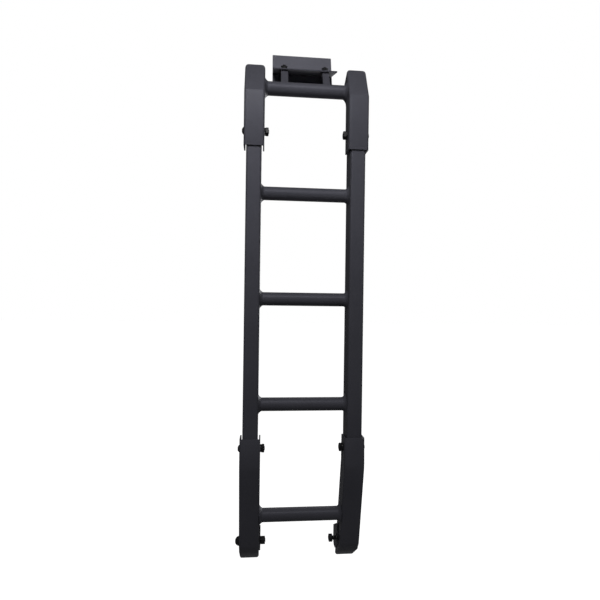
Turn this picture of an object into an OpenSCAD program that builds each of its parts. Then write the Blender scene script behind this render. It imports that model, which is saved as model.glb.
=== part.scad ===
// Rear ladder for a sport utility vehicle: two box rails, five round rungs, four bent sleeves.
// Sizes are in millimetres. +X is to the right, +Y towards the vehicle, +Z up.
// The origin is on the rear face of the top bracket's back plate, where it meets the vehicle.
// Inside the modules, height 0 is the middle rung and depth 0 is the front face of the rails.

/* [Rungs] */
// Outside diameter of a rung tube
rung_d = 30; // [26:0.5:32]
// Wall thickness of a rung tube
rung_wall = 2.5; // [1.5:0.5:4]
// Leg of the weld bead round each rung end
weld_leg = 7; // [3:0.5:8]
// Step from one rung to the next along the rails
rung_pitch = 236.7; // [215:0.1:260]
// Step from the second rung up to the top rung
top_rung_step = 239; // [228:0.5:244]
// Step from the fourth rung down to the bottom rung
bottom_rung_step = 255.4; // [240:0.2:275]
// Depth of the top rung's axis behind the front of the rails
top_rung_depth = 33.8; // [33:0.1:36]
// Depth of the axis of the three rungs between the rails
rung_depth = 26.6; // [24:0.1:29]
// Depth of the bottom rung's axis behind the front of the rails
bottom_rung_depth = 40; // [38:0.5:46]

/* [Rails] */
// Distance between the middle planes of the rails
rail_gauge = 231.2; // [180:0.2:320]
// Width of a rail
rail_w = 34; // [28:0.5:38]
// Depth of a rail
rail_depth = 53; // [48:0.5:60]
// Wall thickness of a rail
rail_wall = 2.5; // [1.5:0.5:4]
// Outside corner radius of a rail
rail_corner = 5; // [3:0.5:8]
// How far the rails run above the second rung
rail_top_run = 200; // [150:1:205]
// How far the rails run below the fourth rung
rail_bottom_run = 128; // [110:1:135]

/* [Sleeves] */
// Thickness of the sleeve sheet
sleeve_wall = 3; // [2:0.5:4]
// Clear gap between a rail and the sleeve walls beside it
side_gap = 2.7; // [0.5:0.1:4]
// Clear gap between a rail and the front wall of its sleeve
front_gap = 0.8; // [0.3:0.1:3]
// Outside radius of a sleeve's front corners
sleeve_corner = 5; // [3.5:0.5:8]

/* [Upper sleeves] */
// Depth of an upper sleeve from front to back
upper_depth = 40.5; // [36:0.5:48]
// Height of an upper sleeve's mouth above the second rung
upper_mouth_rise = 97.3; // [85:0.1:110]
// Length of the straight part of an upper sleeve
upper_straight = 120; // [105:0.1:124]
// Length of the part that leans towards the vehicle
upper_lean_len = 84; // [78:0.5:92]
// Lean of that part from upright
upper_lean = 27.3; // [15:0.1:32]
// Radius of the corners at the closed top
upper_top_corner = 9; // [4:0.5:14]

/* [Lower sleeves] */
// Depth of a lower sleeve at its mouth
lower_depth = 41; // [38:0.5:46]
// Depth of a lower sleeve at its upper bend
lower_bend_depth = 45; // [43:0.5:47]
// Depth of a lower sleeve where its toe begins
lower_toe_depth = 49; // [48:0.5:56]
// Depth of a lower sleeve's mouth below the fourth rung
lower_mouth_drop = 69.6; // [60:0.1:80]
// Length from the mouth to the bend
lower_straight = 56.7; // [48:0.1:60]
// Forward tilt of the part above the bend
lower_tilt = 3; // [0:0.1:5]
// Length of the short flat in the middle of the bend
bend_flat = 14; // [6:0.5:20]
// Lean towards the vehicle below the bend
lower_lean = 12.7; // [8:0.1:16]
// Length of the leaning part between the two bends
lower_lean_len = 193.5; // [180:0.5:200]
// Length of the short flat in the middle of the toe's bend
toe_flat = 22; // [12:0.5:28]
// Slope of the toe from upright
toe_slope = 52; // [40:0.5:58]
// Length of the flat part of the toe
toe_len = 60; // [50:0.5:66]

/* [Hook brackets] */
// Thickness of a hook bracket
hook_t = 3.2; // [2:0.1:5]
// Depth of a hook bracket's rear foot behind the front of the rails
hook_foot_depth = 111; // [106:0.5:118]
// Height of the foot
hook_foot_h = 38; // [28:0.5:42]
// Width of the foot that rests against the vehicle
hook_foot_w = 34; // [20:0.5:40]
// Depth from the foot to the bracket's front point
hook_reach = 54; // [48:0.5:58]
// Rise of the front point above the foot's top edge
hook_rise = 31; // [20:0.5:36]
// How far the middle of the foot sits below the foot bolt
hook_foot_drop = 13.5; // [8:0.5:16]
// How far the front edge reaches below the foot bolt
hook_front_drop = 14; // [10:0.5:20]
// How far the bracket's tail reaches below the foot
hook_tail = 8; // [4:0.5:14]
// Depth from the foot to the front end of the tail's lower edge
hook_tail_depth = 22; // [14:0.5:26]
// Depth of the cut corner between the foot and the tail's lower edge
hook_tail_corner = 7; // [3:0.5:10]

/* [Bolts] */
// Shank diameter of the sleeve bolts
bolt_d = 10; // [8:0.5:12]
// Clearance on the diameter of each bolt hole
bolt_clearance = 0.6; // [0.2:0.1:1.5]
// Diameter of a dome head
dome_d = 17.5; // [15:0.5:22]
// Height of a dome head
dome_h = 5; // [3:0.1:7]
// Width of a nut across its flats
nut_af = 17; // [15:0.5:19]
// Height of a nut
nut_h = 6.5; // [5:0.1:10]
// Outside diameter of a spring washer
washer_d = 17; // [16:0.5:21]
// Thickness of a spring washer
washer_t = 2.5; // [1:0.1:3]
// How far a bolt's end stands out of its nut
bolt_end = 1; // [0:0.5:4]
// Height of the upper sleeve bolts above the mouth
upper_bolt_rise = 37; // [25:0.5:60]
// Depth of the upper sleeve bolts behind the front of the rails
upper_bolt_depth = 17; // [12:0.5:24]
// Distance of the lower sleeve bolts below the mouth
lower_bolt_drop = 26; // [20:0.5:32]
// Depth of the lower sleeve bolts behind the front of the rails
lower_bolt_depth = 18; // [14:0.5:24]
// Distance of the foot bolts below the bottom rung's axis
foot_bolt_drop = 68; // [60:0.5:74]
// Depth of the foot bolts behind the front of the rails
foot_bolt_depth = 60; // [54:0.5:66]
// Diameter of the left foot bolt's head
foot_head_d = 21; // [18:0.5:24]
// Height of the left foot bolt's head
foot_head_h = 10; // [5:0.5:10]
// Height of the right foot bolt's head
low_head_h = 3.5; // [2:0.5:6]
// Width of a foot bolt's nut across its flats
foot_nut_af = 17; // [15:0.5:19]
// Height of a foot bolt's nut
foot_nut_h = 8; // [6:0.1:10]
// Gap between the right foot bolt's washer and its nut, which isn't run home
loose_nut_gap = 9; // [1:0.5:14]

/* [Top bracket] */
// Width of the top bracket
bracket_w = 150; // [120:1:180]
// Thickness of the bracket's shelf
shelf_t = 3; // [2.5:0.5:6]
// Slope of the shelf up towards the vehicle
shelf_slope = 21; // [10:0.5:26]
// Depth of the shelf's front edge behind the front of the rails
shelf_front_depth = 56; // [52:0.5:62]
// Height of the shelf's front edge above the top rung's axis
shelf_rise = 57; // [50:0.5:66]
// Thickness of the back plate
plate_t = 4; // [3:0.5:6]
// Lean of the back plate from upright
plate_lean = 17; // [5:0.5:24]
// Depth of the back plate where the shelf meets it
plate_depth = 141; // [125:0.5:155]
// How far the back plate stands above the shelf
plate_above = 59.5; // [45:0.5:70]
// How far the back plate hangs below the shelf
plate_below = 36; // [20:0.5:44]

/* [Bracket lugs] */
// Distance between the two lugs
lug_spacing = 97; // [70:1:120]
// Width of a lug
lug_w = 16; // [15:0.5:24]
// Thickness of a lug's strap
lug_t = 6; // [4:0.5:8]
// Lean of a lug's strap from upright
lug_lean = 28; // [20:0.5:34]
// Length of the tab that lies under the shelf
lug_tab = 24; // [20:0.5:30]
// Extra width of a lug at its weld to the rung
lug_flare = 6; // [2:0.5:8]
// How far the weld reaches up a lug from the rung
lug_weld_h = 9; // [4:0.5:12]
// Shank diameter of a lug bolt
lug_bolt_d = 8; // [6:0.5:9]
// Diameter of a lug bolt's head
lug_head_d = 14; // [12:0.5:16]
// Height of a lug bolt's head
lug_head_h = 4; // [2:0.5:6]
// Width of a lug nut across its flats
lug_nut_af = 13; // [11:0.5:14]
// Height of a lug nut
lug_nut_h = 6.5; // [4:0.1:8]
// Diameter of a lug washer
lug_washer_d = 16; // [13:0.5:18]
// Thickness of a lug washer
lug_washer_t = 1.6; // [1:0.1:2.5]
// How far a lug bolt's end stands out of its nut
lug_bolt_end = 2; // [0:0.5:4]

/* [Hidden] */
$fn = 64;

// Which side a mirrored piece is on
LEFT = -1;
RIGHT = 1;
// Longer than any sleeve, for cutting tools
reach = 2 * lower_lean_len;
// Colours of the powder coat and of the plated fasteners
coat = [0.20, 0.20, 0.22];
plating = [0.12, 0.12, 0.13];

// Sleeve width and the planes of its walls, measured from the rail's middle
sleeve_w = rail_w + 2 * (side_gap + sleeve_wall);
sleeve_inner_x = rail_gauge / 2 - sleeve_w / 2;
rail_inner_x = rail_gauge / 2 - rail_w / 2;
hook_x = sleeve_inner_x - hook_t;
sleeve_front = -(front_gap + sleeve_wall);

// Heights of the rungs
second_z = rung_pitch;
fourth_z = -rung_pitch;
top_z = second_z + top_rung_step;
bottom_z = fourth_z - bottom_rung_step;

// Depth and height of a point on a straight part that is turned by angle t from upright
function along(t) = [-sin(t), cos(t)];
function inward(t) = [cos(t), sin(t)];
function cross2(a, b) = a[0] * b[1] - a[1] * b[0];

// Corner points of a bent face, walked down from its top through runs of given angles and lengths
function sum_to(v, i) = i < 0 ? [0, 0] : v[i] + sum_to(v, i - 1);
function walk_down(top, angles, lengths) = [
    for (n = [0:len(angles)])
        top - sum_to([for (k = [0:len(angles) - 1]) lengths[k] * along(angles[k])], n - 1)
];
// Where the line through p along d meets the line through q along e
function meet(p, d, q, e) = p + d * cross2(q - p, e) / cross2(d, e);

// Upper sleeve: its front face is walked from the closed top down to the mouth
upper_mouth = [sleeve_front, second_z + upper_mouth_rise];
upper_angles = [-upper_lean, 0];
upper_top = upper_mouth + upper_straight * along(0) + upper_lean_len * along(-upper_lean);
upper_points = walk_down(upper_top, upper_angles, [upper_lean_len, upper_straight]);
// Back edge of the upper sleeve's side walls, at the top, the bend and the mouth
upper_backs = [
    upper_points[0] + upper_depth * inward(-upper_lean),
    upper_points[1] + upper_depth / cos(upper_lean / 2) * inward(-upper_lean / 2),
    upper_points[2] + upper_depth * inward(0)
];
upper_outline = concat(upper_backs, [upper_points[2], upper_points[1], upper_points[0]]);

// Lower sleeve: its front face is walked from the mouth down to the tip of the toe
lower_mouth = [sleeve_front, fourth_z - lower_mouth_drop];
lower_angles = [
    -lower_tilt, (lower_lean - lower_tilt) / 2, lower_lean, (lower_lean + toe_slope) / 2, toe_slope
];
lower_lengths = [lower_straight, bend_flat, lower_lean_len, toe_flat, toe_len];
lower_points = walk_down(lower_mouth, lower_angles, lower_lengths);
// Back edge of the lower sleeve's side walls: straight to the bend, then straight to the tip
mouth_back = lower_mouth + lower_depth * inward(-lower_tilt);
bend_back = (lower_points[1] + lower_points[2]) / 2 + lower_bend_depth * inward(lower_angles[1]);
toe_back = lower_points[3] + lower_toe_depth * inward(lower_lean);
tip_back = meet(bend_back, toe_back - bend_back, lower_points[5], inward(toe_slope));
lower_outline = concat([mouth_back, bend_back, tip_back], [for (n = [5:-1:0]) lower_points[n]]);

// Side outline of a rail between the rungs, which its welds stay inside
rail_outline = [[0, -reach], [rail_depth, -reach], [rail_depth, reach], [0, reach]];

// Bolt centres, as depth and height
upper_bolt = [upper_bolt_depth, upper_mouth[1] + upper_bolt_rise];
lower_bolt = [lower_bolt_depth, lower_mouth[1] - lower_bolt_drop];
foot_bolt = [foot_bolt_depth, bottom_z - foot_bolt_drop];

// Top bracket: lower front edge of the shelf, and the line where the shelf meets the back plate
shelf_dir = [cos(shelf_slope), sin(shelf_slope)];
shelf_up = [-sin(shelf_slope), cos(shelf_slope)];
shelf_edge = [shelf_front_depth, top_z + shelf_rise];
plate_dir = [sin(plate_lean), cos(plate_lean)];
plate_back = [cos(plate_lean), -sin(plate_lean)];
shelf_len = (plate_depth - shelf_front_depth) / cos(shelf_slope);
plate_foot = shelf_edge + shelf_len * shelf_dir;
plate_low = plate_foot - plate_below * plate_dir;
plate_high = plate_foot + plate_above * plate_dir;
plate_middle = (plate_low + plate_high) / 2 + plate_t * plate_back;

// Lug: strap from the top rung to the shelf, then a tab under the shelf
lug_dir = [sin(lug_lean), cos(lug_lean)];
lug_back = [cos(lug_lean), -sin(lug_lean)];
rung_axis = [top_rung_depth, top_z];
// Where the strap's front and back faces meet the underside of the shelf
strap_front = meet(rung_axis - lug_back * lug_t / 2, lug_dir, shelf_edge, shelf_dir);
strap_back = meet(rung_axis + lug_back * lug_t / 2, lug_dir, shelf_edge, shelf_dir);
tab_end = strap_back + lug_tab * shelf_dir;
lug_bolt = strap_back + lug_tab / 2 * shelf_dir;

// Moves a piece from the ladder's own depth and height to the row origin
module placed() {
    translate([0, -plate_middle[0], -plate_middle[1]]) children();
}

// Puts a sleeve or rail piece on one side; the modules below draw the right one
module on_side(side) {
    placed() mirror([side == LEFT ? 1 : 0, 0, 0]) children();
}

// Extrudes a depth and height outline across the ladder, from x0 over width w
module side_extrude(x0, w) {
    translate([x0, 0, 0]) rotate([90, 0, 90]) linear_extrude(w) children();
}

// Cylinder along X from x0 to x1 at a depth and height
module cross_bar(p, d, x0, x1) {
    translate([x0, p[0], p[1]]) rotate([0, 90, 0]) cylinder(d = d, h = x1 - x0);
}

// Rectangle with its two front corners rounded, centred on x, front at y = 0
module rounded_front(w, d, r) {
    translate([-w / 2, r]) square([w, d - r]);
    translate([-w / 2 + r, 0]) square([w - 2 * r, d]);
    translate([-w / 2 + r, r]) circle(r);
    translate([w / 2 - r, r]) circle(r);
}

// Rectangle with four rounded corners, centred on x, front at y = 0
module rounded_box(w, d, r) {
    translate([-w / 2, r]) square([w, d - 2 * r]);
    translate([-w / 2 + r, 0]) square([w - 2 * r, d]);
    for (x = [-w / 2 + r, w / 2 - r], y = [r, d - r]) {
        translate([x, y]) circle(r);
    }
}

// Straight box tube rail with its bolt holes
module rail(side) {
    top = second_z + rail_top_run;
    bottom = fourth_z - rail_bottom_run;
    color(coat) on_side(side) difference() {
        translate([rail_gauge / 2, 0, bottom]) linear_extrude(top - bottom) difference() {
            rounded_box(rail_w, rail_depth, rail_corner);
            translate([0, rail_wall]) {
                rounded_box(rail_w - 2 * rail_wall, rail_depth - 2 * rail_wall, rail_corner - rail_wall);
            }
        }
        for (p = [upper_bolt, lower_bolt]) {
            cross_bar(p, bolt_d + bolt_clearance, rail_inner_x - 1, rail_gauge / 2 + rail_w);
        }
    }
}

// Weld bead with a hollow face, round a tube that stands on the plane z = 0
module weld_ring(leg) {
    rotate_extrude() difference() {
        translate([rung_d / 2 - rung_wall / 2, 0]) square([leg + rung_wall / 2, leg]);
        translate([rung_d / 2 + leg, leg]) circle(leg);
    }
}

// Rung tube between two walls at +/- x_end, with a weld at each end that stays inside the wall's outline
module rung(p, x_end, outline) {
    color(coat) placed() difference() {
        union() {
            cross_bar(p, rung_d, -x_end, x_end);
            for (s = [0, 1]) mirror([s, 0, 0]) intersection() {
                translate([x_end, p[0], p[1]]) rotate([0, -90, 0]) weld_ring(weld_leg);
                side_extrude(x_end - 2 * weld_leg, 3 * weld_leg) polygon(outline);
            }
        }
        cross_bar(p, rung_d - 2 * rung_wall, -x_end - 1, x_end + 1);
    }
}

// Half space above the plane through p that is turned by angle t, across the ladder
module above(p, t) {
    translate([0, p[0], p[1]]) rotate([t, 0, 0]) translate([-reach / 2, -reach / 2, 0]) cube(reach);
}

// Solid form of a bent sleeve, endless up and down: what lies behind every run's rounded front
module sleeve_form(points, angles, inset) {
    intersection_for (n = [0:len(angles) - 1]) {
        translate([rail_gauge / 2, points[n + 1][0], points[n + 1][1]]) rotate([angles[n], 0, 0]) {
            translate([0, inset, -reach]) linear_extrude(2 * reach) {
                rounded_front(sleeve_w - 2 * inset, reach - inset, sleeve_corner - inset);
            }
        }
    }
}

module upper_sleeve(side) {
    color(coat) on_side(side) difference() {
        intersection() {
            difference() {
                sleeve_form(upper_points, upper_angles, 0);
                // The inside stops short of the closed top
                difference() {
                    sleeve_form(upper_points, upper_angles, sleeve_wall);
                    above(upper_points[0] - sleeve_wall * along(-upper_lean), -upper_lean);
                }
            }
            side_extrude(sleeve_inner_x - 1, sleeve_w + 2) polygon([
                upper_points[0] - sleeve_w * inward(-upper_lean),
                upper_backs[0],
                upper_backs[1],
                upper_backs[2],
                upper_points[2] - sleeve_w * inward(0)
            ]);
        }
        top_corners();
        cross_bar(upper_bolt, bolt_d + bolt_clearance, sleeve_inner_x - 1, sleeve_inner_x + sleeve_w + 1);
    }
}

// What is cut off to round the two corners of the closed top, in short flats that run on past the walls
module top_corners() {
    flats = 5;
    turn = 90 / flats;
    past = 1 / tan(turn / 2);
    translate([rail_gauge / 2, upper_points[0][0], upper_points[0][1]]) rotate([-upper_lean, 0, 0]) {
        for (s = [0, 1]) mirror([s, 0, 0]) {
            translate([sleeve_w / 2 - upper_top_corner, 2 * sleeve_w, -upper_top_corner]) rotate([90, 0, 0]) {
                linear_extrude(4 * sleeve_w) polygon(concat(
                    [[upper_top_corner + 1, upper_top_corner + 1], [upper_top_corner + 1, -past]],
                    [for (k = [1:flats - 1]) upper_top_corner * [cos(k * turn), sin(k * turn)]],
                    [[-past, upper_top_corner + 1]]
                ));
            }
        }
    }
}

module lower_sleeve(side) {
    color(coat) on_side(side) difference() {
        intersection() {
            difference() {
                sleeve_form(lower_points, lower_angles, 0);
                sleeve_form(lower_points, lower_angles, sleeve_wall);
            }
            side_extrude(sleeve_inner_x - 1, sleeve_w + 2) polygon([
                lower_points[0] - sleeve_w * inward(-lower_tilt),
                mouth_back,
                bend_back,
                tip_back,
                lower_points[5] - sleeve_w * inward(toe_slope)
            ]);
        }
        for (p = [lower_bolt, foot_bolt]) {
            cross_bar(p, bolt_d + bolt_clearance, sleeve_inner_x - 1, sleeve_inner_x + sleeve_w + 1);
        }
    }
}

// Hook bracket: a plate beside the sleeve's inner wall and a foot turned behind the sleeve
module hook_bracket(side) {
    foot_top = foot_bolt[1] + hook_foot_h / 2 - hook_foot_drop;
    foot_bottom = foot_top - hook_foot_h;
    front = hook_foot_depth - hook_reach;
    color(coat) on_side(side) difference() {
        union() {
            side_extrude(hook_x, hook_t) polygon([
                [front, foot_top + hook_rise],
                [hook_foot_depth, foot_top],
                [hook_foot_depth, foot_bottom],
                [hook_foot_depth - hook_tail_corner, foot_bottom - hook_tail],
                [hook_foot_depth - hook_tail_depth, foot_bottom - hook_tail],
                [front, foot_bolt[1] - hook_front_drop]
            ]);
            translate([hook_x, hook_foot_depth - hook_t, foot_bottom]) {
                cube([hook_foot_w, hook_t, hook_foot_h]);
            }
        }
        cross_bar(foot_bolt, bolt_d + bolt_clearance, hook_x - 1, sleeve_inner_x + 1);
    }
}

// Low dome standing on z = 0
module dome(d, h) {
    radius = (h * h + d * d / 4) / (2 * h);
    intersection() {
        translate([0, 0, h - radius]) sphere(radius);
        cylinder(d = d, h = h);
    }
}

// Washer round a bolt along X, lying on the plane x on its -X side
module washer(p, x, side) {
    color(plating) on_side(side) difference() {
        cross_bar(p, washer_d, x - washer_t, x);
        cross_bar(p, bolt_d + bolt_clearance, x - washer_t - 1, x + 1);
    }
}

// Six-sided nut on that washer
module nut(p, x, side, af, h) {
    color(plating) on_side(side) difference() {
        translate([x - washer_t, p[0], p[1]]) rotate([0, -90, 0]) cylinder(d = af / cos(30), h = h, $fn = 6);
        cross_bar(p, bolt_d, x - washer_t - h - 1, x - washer_t + 1);
    }
}

// Bolt across a sleeve from its outer wall to inner_end, with a dome head
module cross_bolt(p, side, inner_end, head_d, head_h) {
    outer_x = sleeve_inner_x + sleeve_w;
    color(plating) on_side(side) {
        cross_bar(p, bolt_d, inner_end, outer_x);
        translate([outer_x, p[0], p[1]]) rotate([0, 90, 0]) dome(head_d, head_h);
    }
}

module sleeve_bolt(p, side) {
    cross_bolt(p, side, sleeve_inner_x - washer_t - nut_h - bolt_end, dome_d, dome_h);
}

// Bolt across the toe and the hook bracket; heads and ends differ from left to right
module foot_bolt_piece(side, head_d, head_h, end) {
    cross_bolt(foot_bolt, side, hook_x - washer_t - foot_nut_h - end, head_d, head_h);
}

// Frame of the shelf at a lug bolt: z is square to the shelf, 0 at its underside
module at_lug_bolt(side) {
    placed() translate([side * lug_spacing / 2, lug_bolt[0], lug_bolt[1]]) rotate([shelf_slope, 0, 0]) {
        children();
    }
}

// Shelf of the top bracket, drilled for the two lug bolts
module bracket_shelf() {
    color(coat) difference() {
        placed() side_extrude(-bracket_w / 2, bracket_w) polygon([
            shelf_edge,
            plate_foot,
            plate_foot + shelf_t / cos(shelf_slope + plate_lean) * plate_dir,
            shelf_edge + shelf_t * shelf_up
        ]);
        for (s = [LEFT, RIGHT]) {
            at_lug_bolt(s) translate([0, 0, -1]) cylinder(d = lug_bolt_d + bolt_clearance, h = shelf_t + 2);
        }
    }
}

// Back plate of the top bracket, which lies against the vehicle
module bracket_back_plate() {
    color(coat) placed() side_extrude(-bracket_w / 2, bracket_w) polygon([
        plate_low,
        plate_high,
        plate_high + plate_t * plate_back,
        plate_low + plate_t * plate_back
    ]);
}

// Weld that flares a lug's strap out to the rung, from inside the tube to inside the strap
module lug_weld() {
    low = rung_d / 4;
    high = rung_d / 2 + lug_weld_h;
    intersection() {
        rotate([90, 0, 0]) linear_extrude(2 * lug_w, center = true) polygon([
            [-lug_w / 2 - lug_flare, low],
            [lug_w / 2 + lug_flare, low],
            [lug_w / 2 - 1, high],
            [-lug_w / 2 + 1, high]
        ]);
        rotate([90, 0, 90]) linear_extrude(3 * lug_w, center = true) polygon([
            [-lug_t / 2 - lug_flare, low],
            [lug_t / 2 + lug_flare, low],
            [lug_t / 2 - 1, high],
            [-lug_t / 2 + 1, high]
        ]);
    }
}

// Lug: a bent strap welded to the top rung, with a tab under the shelf
module bracket_lug(side) {
    x0 = side * lug_spacing / 2 - lug_w / 2;
    color(coat) difference() {
        placed() difference() {
            union() {
                side_extrude(x0, lug_w) polygon([
                    rung_axis - lug_back * lug_t / 2,
                    strap_front,
                    tab_end,
                    tab_end - lug_t * shelf_up,
                    strap_back - lug_t * shelf_up + lug_t / 2 * shelf_dir,
                    rung_axis + lug_back * lug_t / 2
                ]);
                translate([side * lug_spacing / 2, rung_axis[0], rung_axis[1]]) rotate([-lug_lean, 0, 0]) {
                    lug_weld();
                }
            }
            cross_bar(rung_axis, rung_d, -bracket_w, bracket_w);
        }
        at_lug_bolt(side) translate([0, 0, -lug_t - 1]) {
            cylinder(d = lug_bolt_d + bolt_clearance, h = lug_t + 2);
        }
    }
}

// Lug bolt with its low head under the tab
module lug_bolt_piece(side) {
    length = lug_t + shelf_t + lug_washer_t + lug_nut_h + lug_bolt_end;
    color(plating) at_lug_bolt(side) translate([0, 0, -lug_t]) {
        cylinder(d = lug_bolt_d, h = length);
        mirror([0, 0, 1]) dome(lug_head_d, lug_head_h);
    }
}

module lug_washer(side) {
    color(plating) at_lug_bolt(side) translate([0, 0, shelf_t]) difference() {
        cylinder(d = lug_washer_d, h = lug_washer_t);
        translate([0, 0, -1]) cylinder(d = lug_bolt_d + bolt_clearance, h = lug_washer_t + 2);
    }
}

module lug_nut(side) {
    color(plating) at_lug_bolt(side) translate([0, 0, shelf_t + lug_washer_t]) difference() {
        cylinder(d = lug_nut_af / cos(30), h = lug_nut_h, $fn = 6);
        translate([0, 0, -1]) cylinder(d = lug_bolt_d, h = lug_nut_h + 2);
    }
}

rail(LEFT);  // left_rail
rail(RIGHT);  // right_rail
rung([top_rung_depth, top_z], sleeve_inner_x, upper_outline);  // top_rung
rung([rung_depth, second_z], rail_inner_x, rail_outline);  // second_rung
rung([rung_depth, 0], rail_inner_x, rail_outline);  // middle_rung
rung([rung_depth, fourth_z], rail_inner_x, rail_outline);  // fourth_rung
rung([bottom_rung_depth, bottom_z], sleeve_inner_x, lower_outline);  // bottom_rung
upper_sleeve(LEFT);  // upper_left_sleeve
upper_sleeve(RIGHT);  // upper_right_sleeve
lower_sleeve(LEFT);  // lower_left_sleeve
lower_sleeve(RIGHT);  // lower_right_sleeve
hook_bracket(LEFT);  // left_hook_bracket
hook_bracket(RIGHT);  // right_hook_bracket
sleeve_bolt(upper_bolt, LEFT);  // upper_left_bolt
sleeve_bolt(upper_bolt, RIGHT);  // upper_right_bolt
sleeve_bolt(lower_bolt, LEFT);  // lower_left_bolt
sleeve_bolt(lower_bolt, RIGHT);  // lower_right_bolt
washer(upper_bolt, sleeve_inner_x, LEFT);  // upper_left_washer
washer(upper_bolt, sleeve_inner_x, RIGHT);  // upper_right_washer
washer(lower_bolt, sleeve_inner_x, LEFT);  // lower_left_washer
washer(lower_bolt, sleeve_inner_x, RIGHT);  // lower_right_washer
nut(upper_bolt, sleeve_inner_x, LEFT, nut_af, nut_h);  // upper_left_nut
nut(upper_bolt, sleeve_inner_x, RIGHT, nut_af, nut_h);  // upper_right_nut
nut(lower_bolt, sleeve_inner_x, LEFT, nut_af, nut_h);  // lower_left_nut
nut(lower_bolt, sleeve_inner_x, RIGHT, nut_af, nut_h);  // lower_right_nut
foot_bolt_piece(LEFT, foot_head_d, foot_head_h, bolt_end);  // left_foot_bolt
foot_bolt_piece(RIGHT, dome_d, low_head_h, loose_nut_gap + bolt_end);  // right_foot_bolt
washer(foot_bolt, hook_x, LEFT);  // left_foot_washer
washer(foot_bolt, hook_x, RIGHT);  // right_foot_washer
nut(foot_bolt, hook_x, LEFT, foot_nut_af, foot_nut_h);  // left_foot_nut
nut(foot_bolt, hook_x - loose_nut_gap, RIGHT, foot_nut_af, foot_nut_h);  // right_foot_nut
bracket_shelf();
bracket_back_plate();
bracket_lug(LEFT);  // left_bracket_lug
bracket_lug(RIGHT);  // right_bracket_lug
lug_bolt_piece(LEFT);  // left_lug_bolt
lug_bolt_piece(RIGHT);  // right_lug_bolt
lug_washer(LEFT);  // left_lug_washer
lug_washer(RIGHT);  // right_lug_washer
lug_nut(LEFT);  // left_lug_nut
lug_nut(RIGHT);  // right_lug_nut
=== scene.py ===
import math

import bpy
from mathutils import Matrix, Vector


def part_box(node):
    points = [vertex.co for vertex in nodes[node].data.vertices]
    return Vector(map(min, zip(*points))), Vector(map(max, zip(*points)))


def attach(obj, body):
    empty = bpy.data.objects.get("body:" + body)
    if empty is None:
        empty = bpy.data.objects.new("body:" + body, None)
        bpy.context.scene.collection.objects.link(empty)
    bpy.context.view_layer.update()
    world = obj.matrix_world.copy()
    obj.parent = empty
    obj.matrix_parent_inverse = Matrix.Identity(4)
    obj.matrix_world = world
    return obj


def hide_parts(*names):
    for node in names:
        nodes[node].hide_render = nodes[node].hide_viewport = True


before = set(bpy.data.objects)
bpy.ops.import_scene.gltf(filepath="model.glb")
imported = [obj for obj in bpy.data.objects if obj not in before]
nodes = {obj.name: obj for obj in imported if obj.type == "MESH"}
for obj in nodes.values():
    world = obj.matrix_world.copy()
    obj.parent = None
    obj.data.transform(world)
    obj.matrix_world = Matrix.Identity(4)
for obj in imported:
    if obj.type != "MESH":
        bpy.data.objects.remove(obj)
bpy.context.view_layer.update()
print("frame loaded:", len(nodes), "nodes")


# Node helpers

def setInputs(node, values):
    for label, value in values.items():
        node.inputs[label].default_value = value


def mathNode(tree, operation, *values):
    # each value is a number or a socket
    node = tree.nodes.new("ShaderNodeMath")
    node.operation = operation
    for socket, value in zip(node.inputs, values):
        if isinstance(value, (int, float)):
            socket.default_value = value
        else:
            tree.links.new(value, socket)
    return node.outputs[0]


def rangeNode(tree, source, fromSpan, toSpan):
    # takes one span of values to another, held at its ends
    remap = tree.nodes.new("ShaderNodeMapRange")
    setInputs(remap, {"From Min": fromSpan[0], "From Max": fromSpan[1]})
    setInputs(remap, {"To Min": toSpan[0], "To Max": toSpan[1]})
    tree.links.new(source, remap.inputs["Value"])
    return remap.outputs["Result"]


def mixColours(tree, factor, first, second):
    # each colour is a socket or three numbers
    mix = tree.nodes.new("ShaderNodeMix")
    mix.data_type = "RGBA"
    tree.links.new(factor, mix.inputs["Factor"])
    for label, colour in (("A", first), ("B", second)):
        if isinstance(colour, tuple):
            mix.inputs[label].default_value = (*colour, 1)
        else:
            tree.links.new(colour, mix.inputs[label])
    return mix.outputs["Result"]


# Shader groups that the finishes share

def newGroup(name, inputs, outputs):
    group = bpy.data.node_groups.new(name, "ShaderNodeTree")
    for label, value in inputs.items():
        socket = group.interface.new_socket(name=label, in_out="INPUT", socket_type="NodeSocketFloat")
        socket.default_value = value
    for label in outputs:
        group.interface.new_socket(name=label, in_out="OUTPUT", socket_type="NodeSocketFloat")
    return group, group.nodes.new("NodeGroupInput"), group.nodes.new("NodeGroupOutput")


def noiseOf(group, vector, sizeSocket, detail):
    # noise whose grains have the size in metres that the socket gives
    noise = group.nodes.new("ShaderNodeTexNoise")
    noise.inputs["Detail"].default_value = detail
    group.links.new(vector, noise.inputs["Vector"])
    group.links.new(mathNode(group, "DIVIDE", 1.0, sizeSocket), noise.inputs["Scale"])
    return noise.outputs["Fac"]


grainLook = {"peelDetail": 2.0, "driftDetail": 3.0}


def buildCoatGrain(look):
    # fine peel of a sprayed coat, and slow drifts in its tone
    group, start, end = newGroup("coatGrain", {"Peel size": 0.0016, "Drift size": 0.09}, ["Peel", "Drift"])
    coords = group.nodes.new("ShaderNodeTexCoord")
    for label, detail in (("Peel", look["peelDetail"]), ("Drift", look["driftDetail"])):
        noise = noiseOf(group, coords.outputs["Object"], start.outputs[label + " size"], detail)
        group.links.new(noise, end.inputs[label])
    return group


scuffLook = {
    "stretch": (9.0, 9.0, 1.0),
    "lean": (0.25, 0.35, 0.0),
    "lineDetail": 1.0,
    "lineMiddle": 0.5,
    "lineWidth": 0.006,
    "patchDetail": 2.0,
    "patchSpan": (0.56, 0.66),
}


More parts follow.
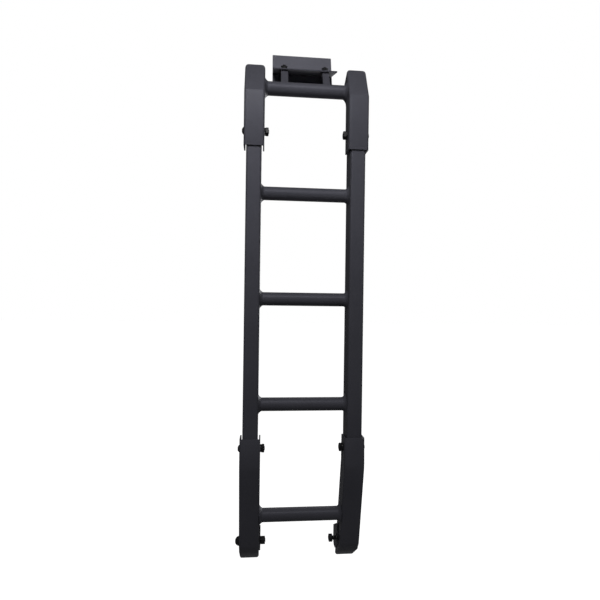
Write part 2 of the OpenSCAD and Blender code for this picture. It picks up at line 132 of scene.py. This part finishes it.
def buildScuffs(look):
    # sparse hairline scuffs: thin bands of a stretched noise, kept to a few patches
    sizes = {"Length": 0.03, "Patch size": 0.05, "Amount": 0.5}
    group, start, end = newGroup("hairScuffs", sizes, ["Mask"])
    coords = group.nodes.new("ShaderNodeTexCoord")
    stretch = group.nodes.new("ShaderNodeMapping")
    setInputs(stretch, {"Scale": look["stretch"], "Rotation": look["lean"]})
    group.links.new(coords.outputs["Object"], stretch.inputs["Vector"])
    lines = noiseOf(group, stretch.outputs["Vector"], start.outputs["Length"], look["lineDetail"])
    patches = noiseOf(group, coords.outputs["Object"], start.outputs["Patch size"], look["patchDetail"])
    near = mathNode(group, "COMPARE", lines, look["lineMiddle"], look["lineWidth"])
    kept = mathNode(group, "MULTIPLY", near, rangeNode(group, patches, look["patchSpan"], (0.0, 1.0)))
    group.links.new(mathNode(group, "MULTIPLY", kept, start.outputs["Amount"]), end.inputs["Mask"])
    return group


coatGrain = buildCoatGrain(grainLook)
hairScuffs = buildScuffs(scuffLook)


# Finishes: a satin powder coat, the same coat painted lighter on the back plate as painted light from above,
# and black plating on the fasteners

noiseSpan = (0.3, 0.7)  # where nearly all of a noise's values lie


def placeGroup(tree, group, values):
    node = tree.nodes.new("ShaderNodeGroup")
    node.node_tree = group
    setInputs(node, values)
    return node


def finishMaterial(name, look):
    material = bpy.data.materials.new(name)
    material.use_nodes = True
    tree = material.node_tree
    shader = tree.nodes["Principled BSDF"]
    grain = placeGroup(tree, coatGrain, {"Peel size": look["peelSize"], "Drift size": look["driftSize"]})
    scuffs = placeGroup(
        tree,
        hairScuffs,
        {"Length": look["scuffLength"], "Patch size": look["scuffPatch"], "Amount": look["scuffAmount"]},
    )
    drift = rangeNode(tree, grain.outputs["Drift"], noiseSpan, (0.0, 1.0))
    tone = mixColours(tree, drift, look["dark"], look["light"])
    worn = mixColours(tree, scuffs.outputs["Mask"], tone, look["worn"])
    roughness = rangeNode(tree, grain.outputs["Peel"], noiseSpan, look["roughness"])
    bump = tree.nodes.new("ShaderNodeBump")
    setInputs(bump, {"Strength": look["bump"], "Distance": look["peelHeight"]})
    tree.links.new(grain.outputs["Peel"], bump.inputs["Height"])
    tree.links.new(worn, shader.inputs["Base Color"])
    tree.links.new(roughness, shader.inputs["Roughness"])
    tree.links.new(bump.outputs["Normal"], shader.inputs["Normal"])
    setInputs(shader, {
        "Metallic": look["metallic"],
        "Specular IOR Level": look["specular"],
        "Specular Tint": (*look["glossTint"], 1),
        "Coat Weight": look["glaze"],
        "Coat Roughness": look["glazeRoughness"],
    })
    return material


coatLook = {
    "dark": (0.043, 0.043, 0.052),
    "light": (0.050, 0.050, 0.060),
    "worn": (0.085, 0.085, 0.095),
    "roughness": (0.56, 0.64),
    "metallic": 0.0,
    "specular": 0.26,
    "glossTint": (0.8, 0.8, 1.0),
    "glaze": 0.04,
    "glazeRoughness": 0.30,
    "peelSize": 0.0016,
    "driftSize": 0.09,
    "peelHeight": 0.00004,
    "bump": 0.5,
    "scuffLength": 0.03,
    "scuffPatch": 0.06,
    "scuffAmount": 0.35,
}
# the back plate's coat is painted lighter: painted light, standing in for the light from above that the
# lamps don't give
paintedLightPlateLook = {**coatLook, "dark": (0.082, 0.082, 0.097), "light": (0.094, 0.094, 0.112)}
platingLook = {
    "dark": (0.006, 0.006, 0.007),
    "light": (0.012, 0.012, 0.014),
    "worn": (0.05, 0.05, 0.05),
    "roughness": (0.34, 0.52),
    "metallic": 0.0,
    "specular": 0.25,
    "glossTint": (1.0, 1.0, 1.0),
    "glaze": 0.0,
    "glazeRoughness": 0.30,
    "peelSize": 0.0008,
    "driftSize": 0.006,
    "peelHeight": 0.00003,
    "bump": 0.4,
    "scuffLength": 0.008,
    "scuffPatch": 0.006,
    "scuffAmount": 0.6,
}

satinCoat = finishMaterial("satinCoat", coatLook)
paintedLightPlateCoat = finishMaterial("paintedLightPlateCoat", paintedLightPlateLook)
blackPlating = finishMaterial("blackPlating", platingLook)


def isFastener(name):
    return name.endswith(("bolt", "nut", "washer"))


for name, node in nodes.items():
    node.data.materials.clear()
    node.data.materials.append(blackPlating if isFastener(name) else satinCoat)
print("finishes on all nodes")


# Working helpers

mendLook = {"mergeGap": 0.000002, "flatAngle": 0.3}


def activate(piece):
    bpy.ops.object.select_all(action="DESELECT")
    piece.select_set(True)
    bpy.context.view_layer.objects.active = piece


def applyModifiers(piece):
    activate(piece)
    for modifier in list(piece.modifiers):
        bpy.ops.object.modifier_apply(modifier=modifier.name)


def smooth(piece, degrees):
    activate(piece)
    bpy.ops.object.shade_smooth_by_angle(angle=math.radians(degrees))


def handOver(piece, slot, replaced=None):
    # settles the piece's place into its mesh and gives it to the frame
    activate(piece)
    bpy.ops.object.transform_apply(location=True, rotation=True, scale=True)
    piece.data.materials.clear()
    piece.data.materials.append(blackPlating if slot == "bolt_plating" else satinCoat)
    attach(piece, "root")
    if replaced:
        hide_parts(replaced)


def copyOf(master, name):
    piece = bpy.data.objects.new(name, master.data.copy())
    bpy.context.collection.objects.link(piece)
    return piece


def discard(piece):
    bpy.data.objects.remove(piece)


def fitCopies(master, nodeNames, place):
    # a plated copy of the master for each CAD node, put in that node's place
    for node in nodeNames:
        piece = copyOf(master, node.replace("_", "-"))
        place(piece, node)
        handOver(piece, "bolt_plating", node)
    discard(master)


def turned(name, profile, steps):
    # a profile of (radius, height) points, drawn point by point and spun round the z axis
    bpy.ops.object.select_all(action="DESELECT")
    bpy.ops.mesh.primitive_plane_add(size=0.001, location=(profile[0][0], 0, profile[0][1]))
    piece = bpy.context.object
    piece.name = name
    bpy.ops.object.transform_apply(location=True, rotation=True, scale=True)
    bpy.ops.object.mode_set(mode="EDIT")
    bpy.ops.mesh.select_mode(type="VERT")
    bpy.ops.mesh.select_all(action="SELECT")
    bpy.ops.mesh.merge(type="CENTER")
    for here, there in zip(profile, profile[1:]):
        step = (there[0] - here[0], 0, there[1] - here[1])
        bpy.ops.mesh.extrude_region_move(TRANSFORM_OT_translate={"value": step})
    bpy.ops.mesh.select_all(action="SELECT")
    bpy.ops.mesh.spin(steps=steps, angle=2 * math.pi, center=(0, 0, 0), axis=(0, 0, 1))
    bpy.ops.mesh.select_all(action="SELECT")
    bpy.ops.mesh.remove_doubles(threshold=mendLook["mergeGap"])
    bpy.ops.mesh.normals_make_consistent(inside=False)
    bpy.ops.object.mode_set(mode="OBJECT")
    return piece


def hexPrism(name, acrossFlats, low, high):
    bpy.ops.object.select_all(action="DESELECT")
    bpy.ops.mesh.primitive_cylinder_add(
        vertices=6,
        radius=acrossFlats / math.sqrt(3),
        depth=high - low,
        location=(0, 0, (low + high) / 2),
        rotation=(0, 0, math.pi / 2),
    )
    piece = bpy.context.object
    piece.name = name
    bpy.ops.object.transform_apply(location=True, rotation=True, scale=True)
    return piece


def ring(name, bore, outside, height, look):
    # flat ring round the z axis: outer edges rounded by a middle point each, inner edges chamfered
    half, edge = height / 2, look["edge"]
    inner, outer = bore / 2, outside / 2
    nearEdge = edge * look["edgeMiddle"]
    profile = [
        (inner + edge, -half),
        (outer - edge, -half),
        (outer - nearEdge, -half + nearEdge),
        (outer, -half + edge),
        (outer, half - edge),
        (outer - nearEdge, half - nearEdge),
        (outer - edge, half),
        (inner + edge, half),
        (inner, half - edge),
        (inner, -half + edge),
        (inner + edge, -half),
    ]
    return turned(name, profile, look["steps"])


def carve(piece, tool, how):
    # cuts with a tool piece, or keeps only what the tool holds, and throws the tool away
    cut = piece.modifiers.new("carve", "BOOLEAN")
    cut.operation = how
    cut.solver = "EXACT"
    cut.object = tool
    applyModifiers(piece)
    discard(tool)


def tidyMesh(piece, joinFlats=True):
    # merges double points, joins faces that lie in one plane, and turns every face outwards
    activate(piece)
    bpy.ops.object.mode_set(mode="EDIT")
    bpy.ops.mesh.select_all(action="SELECT")
    bpy.ops.mesh.remove_doubles(threshold=mendLook["mergeGap"])
    if joinFlats:
        bpy.ops.mesh.dissolve_degenerate(threshold=mendLook["mergeGap"])
        bpy.ops.mesh.dissolve_limited(angle_limit=math.radians(mendLook["flatAngle"]))
    bpy.ops.mesh.normals_make_consistent(inside=False)
    bpy.ops.object.mode_set(mode="OBJECT")


def centreOf(node):
    low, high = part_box(node)
    return (low + high) / 2


def sizeOf(node):
    low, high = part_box(node)
    return high - low


# Sheet steel pieces: the CAD shape with its cut edges and bends eased, as pressed and coated steel has them

sheetLook = {
    "edge": 0.0007,
    "segments": 3,
    "easedFrom": 24,  # edges that turn by more degrees than this are eased
    "smoothTo": 34,  # and faces that meet at fewer degrees than this are shaded as one
}
sheetPieces = {
    "upper_left_sleeve": "upperLeftSleeveSheet",
    "upper_right_sleeve": "upperRightSleeveSheet",
    "lower_left_sleeve": "lowerLeftSleeveSheet",
    "lower_right_sleeve": "lowerRightSleeveSheet",
    "left_hook_bracket": "leftHookPlate",
    "right_hook_bracket": "rightHookPlate",
    "bracket_shelf": "topShelfPlate",
    "bracket_back_plate": "topBackPlate",
    "left_bracket_lug": "leftLugStrap",
    "right_bracket_lug": "rightLugStrap",
}


def easedCopy(node, name, look):
    piece = copyOf(nodes[node], name)
    tidyMesh(piece, joinFlats=look["segments"] > 0)
    if look["segments"]:
        ease = piece.modifiers.new("ease", "BEVEL")
        ease.width = look["edge"]
        ease.segments = look["segments"]
        ease.limit_method = "ANGLE"
        ease.angle_limit = math.radians(look["easedFrom"])
        applyModifiers(piece)
    smooth(piece, look["smoothTo"])
    handOver(piece, "ladder_coat", node)
    return piece


for node, name in sheetPieces.items():
    sheetPiece = easedCopy(node, name, sheetLook)
    # the back plate takes the lighter coat, which is painted light from above
    if node == "bracket_back_plate":
        sheetPiece.data.materials[0] = paintedLightPlateCoat
print("sheet steel pieces eased:", len(sheetPieces))


# Tubes: the CAD shape with its points merged, so that its round faces shade smoothly

tubeLook = {"segments": 0, "smoothTo": 30}
tubePieces = {
    "left_rail": "leftRailTube",
    "right_rail": "rightRailTube",
    "top_rung": "topRungTube",
    "second_rung": "secondRungTube",
    "middle_rung": "middleRungTube",
    "fourth_rung": "fourthRungTube",
    "bottom_rung": "bottomRungTube",
}

for node, name in tubePieces.items():
    easedCopy(node, name, tubeLook)
print("tubes shaded:", len(tubePieces))


# Weld beads round the rung ends: rippled weld metal over the fillets of the CAD rungs

beadLook = {
    "tube": 0.015,  # radius of the rungs
    "leg": 0.007,  # reach of the weld along the tube and along the wall
    "crown": 0.0009,  # how far the middle of its face stands out of the CAD fillet
    "edgeSink": 0.0002,  # how deep its edges lie in the fillet
    "root": 0.0008,  # how deep its hidden back lies
    "ripple": 0.00022,
    "columns": 96,
    "rows": 8,
    "smoothTo": 50,
}
# The two rungs whose welds would overhang their sleeves: the rung's own depth, and how far
# from it, on which side and at what tilt in degrees the sleeve's face cuts the bead
beadCuts = {
    "top_rung": {"axis": -0.11446, "reach": 0.02152, "facing": 1, "tilt": 0.0},
    "bottom_rung": {"axis": -0.10826, "reach": 0.01914, "facing": -1, "tilt": 12.7},
}


def makeBead(name, look):
    # hollow fillet between a tube along z and a wall at z = 0, with a rippled face
    leg, rows = look["leg"], look["rows"]
    middle = look["tube"] + leg

    def onArc(radius, row):
        angle = math.pi * (1 + 0.5 * row / rows)
        return (middle + radius * math.cos(angle), leg + radius * math.sin(angle))

    face = []
    for row in range(rows + 1):
        swell = math.sin(math.pi * row / rows)
        face.append(onArc(leg + look["edgeSink"] - (look["crown"] + look["edgeSink"]) * swell, row))
    back = [onArc(leg + look["root"], row) for row in range(rows, -1, -2)]
    bead = turned(name, face + back + face[:1], look["columns"])
    step = 2 * math.pi / look["columns"]
    activate(bead)
    for vertex in bead.data.vertices:
        column = round(math.atan2(vertex.co.y, vertex.co.x) / step)
        vertex.select = column % 2 == 0  # every other column swells into a ripple
    for part in (*bead.data.edges, *bead.data.polygons):
        part.select = False
    bpy.ops.object.mode_set(mode="EDIT")
    bpy.ops.transform.shrink_fatten(value=look["ripple"])
    bpy.ops.object.mode_set(mode="OBJECT")
    smooth(bead, look["smoothTo"])
    return bead


def placeBead(piece, rung, side):
    # against the wall at the rung's left or right end, and cut off where its sleeve ends
    centre, size = centreOf(rung), sizeOf(rung)
    cut = beadCuts.get(rung)
    depth = cut["axis"] if cut else centre.y
    piece.rotation_euler = (0, -side * math.pi / 2, 0)
    piece.location = (side * size.x / 2, depth, centre.z)
    activate(piece)
    bpy.ops.object.transform_apply(location=True, rotation=True, scale=True)
    if not cut:
        return
    tilt = math.radians(cut["tilt"])
    facing = Vector((0, cut["facing"] * math.cos(tilt), cut["facing"] * math.sin(tilt)))
    edge = Vector((0, depth, centre.z)) + facing * cut["reach"]
    bpy.ops.object.mode_set(mode="EDIT")
    bpy.ops.mesh.select_all(action="SELECT")
    bpy.ops.mesh.bisect(plane_co=edge, plane_no=facing, use_fill=True, clear_outer=True)
    bpy.ops.object.mode_set(mode="OBJECT")


weldBead = makeBead("weldBead", beadLook)
for rung in ("top_rung", "second_rung", "middle_rung", "fourth_rung", "bottom_rung"):
    for side, word in ((-1, "Left"), (1, "Right")):
        bead = copyOf(weldBead, rung.split("_")[0] + word + "Bead")
        placeBead(bead, rung, side)
        handOver(bead, "ladder_coat")
discard(weldBead)
print("weld beads laid")


# Nuts: six-sided, with both ends turned to a chamfer and a countersunk, threaded bore

sleevePlaces = ("upper_left", "upper_right", "lower_left", "lower_right")
footPlaces = ("left_foot", "right_foot")
lugPlaces = ("left_lug", "right_lug")
nutLook = {
    "bore": 0.0098,
    "flatShare": 0.97,  # the turned face's width against the nut's width across flats
    "cornerSpare": 0.0001,  # how far the turned shape clears the hexagon's corners
    "chamferAngle": 30,
    "sink": 0.0012,
    "threadPitch": 0.0015,
    "threadDepth": 0.0006,
    "cutterSpare": 0.001,
    "steps": 48,
    "smoothTo": 30,
}
lugNutLook = {**nutLook, "acrossFlats": 0.013, "height": 0.0065, "bore": 0.0078}
shelfSlope = math.radians(21)


def makeNut(name, acrossFlats, height, look):
    half, bore, spare = height / 2, look["bore"] / 2, look["cutterSpare"]
    flat = acrossFlats / 2 * look["flatShare"]
    corner = acrossFlats / math.sqrt(3) + look["cornerSpare"]
    slope = (corner - flat) * math.tan(math.radians(look["chamferAngle"]))
    lowEnd = [(0, -half), (flat, -half), (corner, -half + slope)]
    highEnd = [(corner, half - slope), (flat, half), (0, half)]
    nut = hexPrism(name, acrossFlats, -half, half)
    carve(nut, turned("nutBlank", lowEnd + highEnd, look["steps"]), "INTERSECT")
    sink, depth, pitch = look["sink"], look["threadDepth"], look["threadPitch"]
    tap = [(0, -half - spare), (bore + sink + spare, -half - spare), (bore, -half + sink)]
    for turn in range(int((height - 2 * sink) / pitch)):
        low = -half + sink + turn * pitch
        tap += [(bore - depth, low + pitch / 2), (bore, low + pitch)]
    tap += [(bore + sink + spare, half + spare), (0, half + spare)]
    carve(nut, turned("nutTap", tap, look["steps"]), "DIFFERENCE")
    tidyMesh(nut)
    smooth(nut, look["smoothTo"])
    return nut


def placeAcross(piece, node):
    # turns a piece that was made along z to lie along x, its +z end towards the ladder's outside
    centre = centreOf(node)
    outward = 1 if centre.x > 0 else -1
    piece.rotation_euler = (0, outward * math.pi / 2, 0)
    piece.location = centre


def placeOnShelf(piece, node):
    # tilts a piece that was made along z to stand square to the sloping shelf
    piece.rotation_euler = (shelfSlope, 0, 0)
    piece.location = centreOf(node)


def acrossNut(name, node):
    # a nut as wide and as thick as the CAD nut, which lies along x
    size = sizeOf(node)
    return makeNut(name, size.y, size.x, nutLook)


fitCopies(acrossNut("sleeveNut", "upper_left_nut"), [place + "_nut" for place in sleevePlaces], placeAcross)
fitCopies(acrossNut("footNut", "left_foot_nut"), [place + "_nut" for place in footPlaces], placeAcross)
lugNut = makeNut("lugNut", lugNutLook["acrossFlats"], lugNutLook["height"], lugNutLook)
fitCopies(lugNut, [place + "_nut" for place in lugPlaces], placeOnShelf)
print("nuts made")


# Washers: split spring washers on the ladder's bolts, flat ones on the lug bolts

springLook = {
    "bore": 0.0106,
    "edge": 0.0004,
    "edgeMiddle": 0.3,  # how far the middle of a rounded edge is cut in, as a part of edge
    "slit": 0.0010,
    "slant": 32,
    "around": -65,  # where the slit stands round the washer, in degrees
    "cutterHeights": 4,  # height of the slit's cutter, in thicknesses of the washer
    "steps": 72,
    "smoothTo": 50,
}
flatLook = {
    "outside": 0.016,
    "thickness": 0.0016,
    "bore": 0.0086,
    "edge": 0.0003,
    "edgeMiddle": 0.3,
    "steps": 64,
    "smoothTo": 50,
}


def makeSpringWasher(name, outside, thickness, look):
    washer = ring(name, look["bore"], outside, thickness, look)
    around = math.radians(look["around"])
    middle = (look["bore"] + outside) / 4
    bpy.ops.object.select_all(action="DESELECT")
    bpy.ops.mesh.primitive_cube_add(
        size=1,
        location=(middle * math.cos(around), middle * math.sin(around), 0),
        scale=(outside - look["bore"], look["slit"], thickness * look["cutterHeights"]),
    )
    cutter = bpy.context.object
    turn = Matrix.Rotation(around, 3, "Z") @ Matrix.Rotation(math.radians(look["slant"]), 3, "X")
    cutter.rotation_euler = turn.to_euler()
    carve(washer, cutter, "DIFFERENCE")
    smooth(washer, look["smoothTo"])
    return washer


def makeFlatWasher(name, look):
    washer = ring(name, look["bore"], look["outside"], look["thickness"], look)
    smooth(washer, look["smoothTo"])
    return washer


washerSize = sizeOf("upper_left_washer")
springWasher = makeSpringWasher("springWasher", washerSize.y, washerSize.x, springLook)
fitCopies(springWasher, [place + "_washer" for place in sleevePlaces + footPlaces], placeAcross)
flatWasher = makeFlatWasher("flatWasher", flatLook)
fitCopies(flatWasher, [place + "_washer" for place in lugPlaces], placeOnShelf)
print("washers made")


# Bolts: a dome head with a hexagon socket, a shank, and a thread that runs out of the nut

boltLook = {
    "radius": 0.005,
    "relief": 0.0001,  # how far the thread's crests stand below the shank
    "pitch": 0.0015,
    "depth": 0.0008,
    "crest": 0.12,  # width of a crest and place of a valley, as parts of the pitch
    "valley": 0.56,
    "tip": 0.0009,
    "lead": 0.00005,
    "rim": 0.0004,
    "rimRise": 0.6,
    "domeSteps": 8,
    "socket": 0.006,
    "socketDepth": 0.0026,
    "cutterSpare": 0.002,
    "steps": 48,
    "smoothTo": 32,
}
crossBolts = {
    "upper_left_bolt": {"headHeight": 0.005, "thread": 0.012},
    "upper_right_bolt": {"headHeight": 0.005, "thread": 0.012},
    "lower_left_bolt": {"headHeight": 0.005, "thread": 0.012},
    "lower_right_bolt": {"headHeight": 0.005, "thread": 0.012},
    "left_foot_bolt": {"headHeight": 0.010, "thread": 0.014},
    "right_foot_bolt": {"headHeight": 0.0035, "thread": 0.024},
}
lugBoltLook = {
    **boltLook,
    "radius": 0.004,
    "pitch": 0.00125,
    "depth": 0.0006,
    "socket": 0.005,
    "below": 0.010,  # reach below and above the shelf's underside
    "above": 0.0131,
    "thread": 0.010,
    "head": 0.014,
    "headHeight": 0.004,
    "washerMiddle": 0.0038,  # from the shelf's underside up to the middle of the washer
}


def threadProfile(radius, low, high, look):
    # annular grooves that read as a thread, from low to high
    pitch = look["pitch"]
    turns = max(1, int((high - low) / pitch))
    points = []
    for turn in range(turns):
        base = low + turn * pitch
        points.append((radius, base))
        points.append((radius, base + pitch * look["crest"]))
        points.append((radius - look["depth"], base + pitch * look["valley"]))
    points.append((radius, low + turns * pitch))
    return points


def headProfile(radius, height, base, look):
    # a low dome from its rim to its crown, as part of a ball
    ball = (height ** 2 + radius ** 2) / (2 * height)
    edge = math.asin(min(1, radius / ball))
    rimTop = base + look["rim"] * look["rimRise"]
    points = [(radius - look["rim"], base), (radius, rimTop)]
    for step in range(1, look["domeSteps"]):
        angle = edge * (1 - step / look["domeSteps"])
        point = (ball * math.sin(angle), base + height - ball * (1 - math.cos(angle)))
        if point[1] > rimTop:
            points.append(point)
    points.append((0, base + height))
    return points


def makeBolt(name, length, threadLength, headRadius, headHeight, look):
    # along z: the threaded tip at -length / 2, the top of the head at +length / 2
    low, high = -length / 2, length / 2
    headBase = high - headHeight
    crest = look["radius"] - look["relief"]
    profile = [(0, low), (look["radius"] - look["tip"], low), (crest, low + look["tip"])]
    profile += threadProfile(crest, low + look["tip"] + look["lead"], low + threadLength, look)[1:]
    profile += [(look["radius"], headBase)]
    profile += headProfile(headRadius, headHeight, headBase, look)
    bolt = turned(name, profile, look["steps"])
    pocket = hexPrism("socketPocket", look["socket"], high - look["socketDepth"], high + look["cutterSpare"])
    carve(bolt, pocket, "DIFFERENCE")
    tidyMesh(bolt)
    smooth(bolt, look["smoothTo"])
    return bolt


def crossBolt(node, look):
    size = sizeOf(node)
    name = node.replace("_", "-")
    bolt = makeBolt(name, size.x, look["thread"], size.y / 2, look["headHeight"], boltLook)
    placeAcross(bolt, node)
    handOver(bolt, "bolt_plating", node)


def lugBolt(place, look):
    # head down under the lug's tab, so it is turned over before it is tilted with the shelf
    length = look["below"] + look["above"]
    bolt = makeBolt(place + "-lug-bolt", length, look["thread"], look["head"] / 2, look["headHeight"], look)
    upShelf = Matrix.Rotation(shelfSlope, 3, "X") @ Vector((0, 0, 1))
    shift = (look["above"] - look["below"]) / 2 - look["washerMiddle"]
    bolt.rotation_euler = (shelfSlope + math.pi, 0, 0)
    bolt.location = centreOf(place + "_lug_washer") + shift * upShelf
    handOver(bolt, "bolt_plating", place + "_lug_bolt")


for node, look in crossBolts.items():
    crossBolt(node, look)
for place in ("left", "right"):
    lugBolt(place, lugBoltLook)
print("bolts made")


# Floor, light and camera

floorLook = {
    "height": -1.46,
    "size": 30.0,
    "grey": 0.30,
    "roughness": 0.9,
    "glowSpan": (1.5, 3.0),  # from the near glow to the far one, in metres from the middle
    "glow": (0.92, 1.0),
}
worldLook = {
    "above": 0.10,  # faint light from straight above
    "below": 0.10,  # and from everything lower than fadeFrom, where 0 is the horizon and -1 straight down
    "fadeFrom": -0.3,
}
glossShare = 0.03  # how much of the white background the satin coat mirrors
lampLook = {
    "key": {
        "place": (-0.15, -1.18, 0.60),
        "aim": (0.0, 0.0, -0.35),
        "size": (0.60, 0.35),
        "power": 12.5,
        "spread": 180,
    },
    "upper": {
        "place": (-0.12, -1.00, 0.30),
        "aim": (0.0, 0.0, -0.10),
        "size": (0.50, 0.30),
        "power": 3.0,
        "spread": 180,
    },
    "under": {
        "place": (0.0, -1.25, -0.80),
        "aim": (0.0, 0.0, 0.02),
        "size": (0.50, 0.30),
        "power": 0.18,
        "spread": 50,
    },
    "rear": {
        "place": (1.10, 1.40, -0.20),
        "aim": (0.0, 0.0, -0.55),
        "size": (1.00, 1.20),
        "power": 26.0,
        "spread": 180,
    },
}
cameraLook = {
    "place": (-0.09309, -1.099521, -0.576386),
    "turn": (89.966, -0.783, -4.9765),
    "lens": 26.05,
    "sensor": 36.0,
}


def whiteRays(tree):
    # the rays that see the white background: the camera's, those through glass, and a share of mirrored ones
    rays = tree.nodes.new("ShaderNodeLightPath")
    straight = mathNode(tree, "MAXIMUM", rays.outputs["Is Camera Ray"], rays.outputs["Is Transmission Ray"])
    mirrored = mathNode(tree, "MULTIPLY", rays.outputs["Is Glossy Ray"], glossShare)
    return mathNode(tree, "MAXIMUM", straight, mirrored)


def buildFloor(look):
    bpy.ops.object.select_all(action="DESELECT")
    bpy.ops.mesh.primitive_plane_add(size=look["size"], location=(0, 0, look["height"]))
    bpy.ops.object.transform_apply(location=True, rotation=True, scale=True)
    floor = bpy.context.object
    floor.name = "floor"
    material = bpy.data.materials.new("paleFloor")
    material.use_nodes = True
    tree = material.node_tree
    shader = tree.nodes["Principled BSDF"]
    setInputs(shader, {
        "Base Color": (look["grey"], look["grey"], look["grey"], 1),
        "Roughness": look["roughness"],
        "Specular IOR Level": 0.0,
        "Emission Color": (1, 1, 1, 1),
    })
    coords = tree.nodes.new("ShaderNodeTexCoord")
    reach = tree.nodes.new("ShaderNodeVectorMath")
    reach.operation = "LENGTH"
    tree.links.new(coords.outputs["Object"], reach.inputs[0])
    glow = rangeNode(tree, reach.outputs["Value"], look["glowSpan"], look["glow"])
    tree.links.new(mathNode(tree, "MULTIPLY", whiteRays(tree), glow), shader.inputs["Emission Strength"])
    floor.data.materials.append(material)


def buildWorld(look):
    world = bpy.data.worlds.new("studio")
    bpy.context.scene.world = world
    world.use_nodes = True
    tree = world.node_tree
    background = tree.nodes["Background"]
    coords = tree.nodes.new("ShaderNodeTexCoord")
    split = tree.nodes.new("ShaderNodeSeparateXYZ")
    tree.links.new(coords.outputs["Generated"], split.inputs["Vector"])
    light = rangeNode(tree, split.outputs["Z"], (look["fadeFrom"], 1.0), (look["below"], look["above"]))
    pick = tree.nodes.new("ShaderNodeMix")
    pick.data_type = "FLOAT"
    pick.inputs["B"].default_value = 1.0
    tree.links.new(whiteRays(tree), pick.inputs["Factor"])
    tree.links.new(light, pick.inputs["A"])
    background.inputs["Color"].default_value = (1, 1, 1, 1)
    tree.links.new(pick.outputs["Result"], background.inputs["Strength"])


def aimAt(thing, target):
    gap = Vector(target) - thing.location
    thing.rotation_euler = gap.to_track_quat("-Z", "Y").to_euler()


def buildLamps(lamps):
    for name, look in lamps.items():
        lamp = bpy.data.lights.new(name + "Lamp", "AREA")
        lamp.shape = "RECTANGLE"
        lamp.size, lamp.size_y = look["size"]
        lamp.energy = look["power"]
        lamp.spread = math.radians(look["spread"])
        holder = bpy.data.objects.new(name + "Lamp", lamp)
        holder.location = look["place"]
        aimAt(holder, look["aim"])
        bpy.context.collection.objects.link(holder)


def buildCamera(look):
    camera = bpy.data.cameras.new("photoCamera")
    camera.lens = look["lens"]
    camera.sensor_width = look["sensor"]
    camera.sensor_fit = "HORIZONTAL"
    holder = bpy.data.objects.new("photoCamera", camera)
    holder.location = look["place"]
    holder.rotation_euler = [math.radians(angle) for angle in look["turn"]]
    bpy.context.collection.objects.link(holder)
    bpy.context.scene.camera = holder


buildFloor(floorLook)
buildWorld(worldLook)
buildLamps(lampLook)
buildCamera(cameraLook)
bpy.context.scene.view_settings.view_transform = "Standard"
print("floor, light and camera ready")
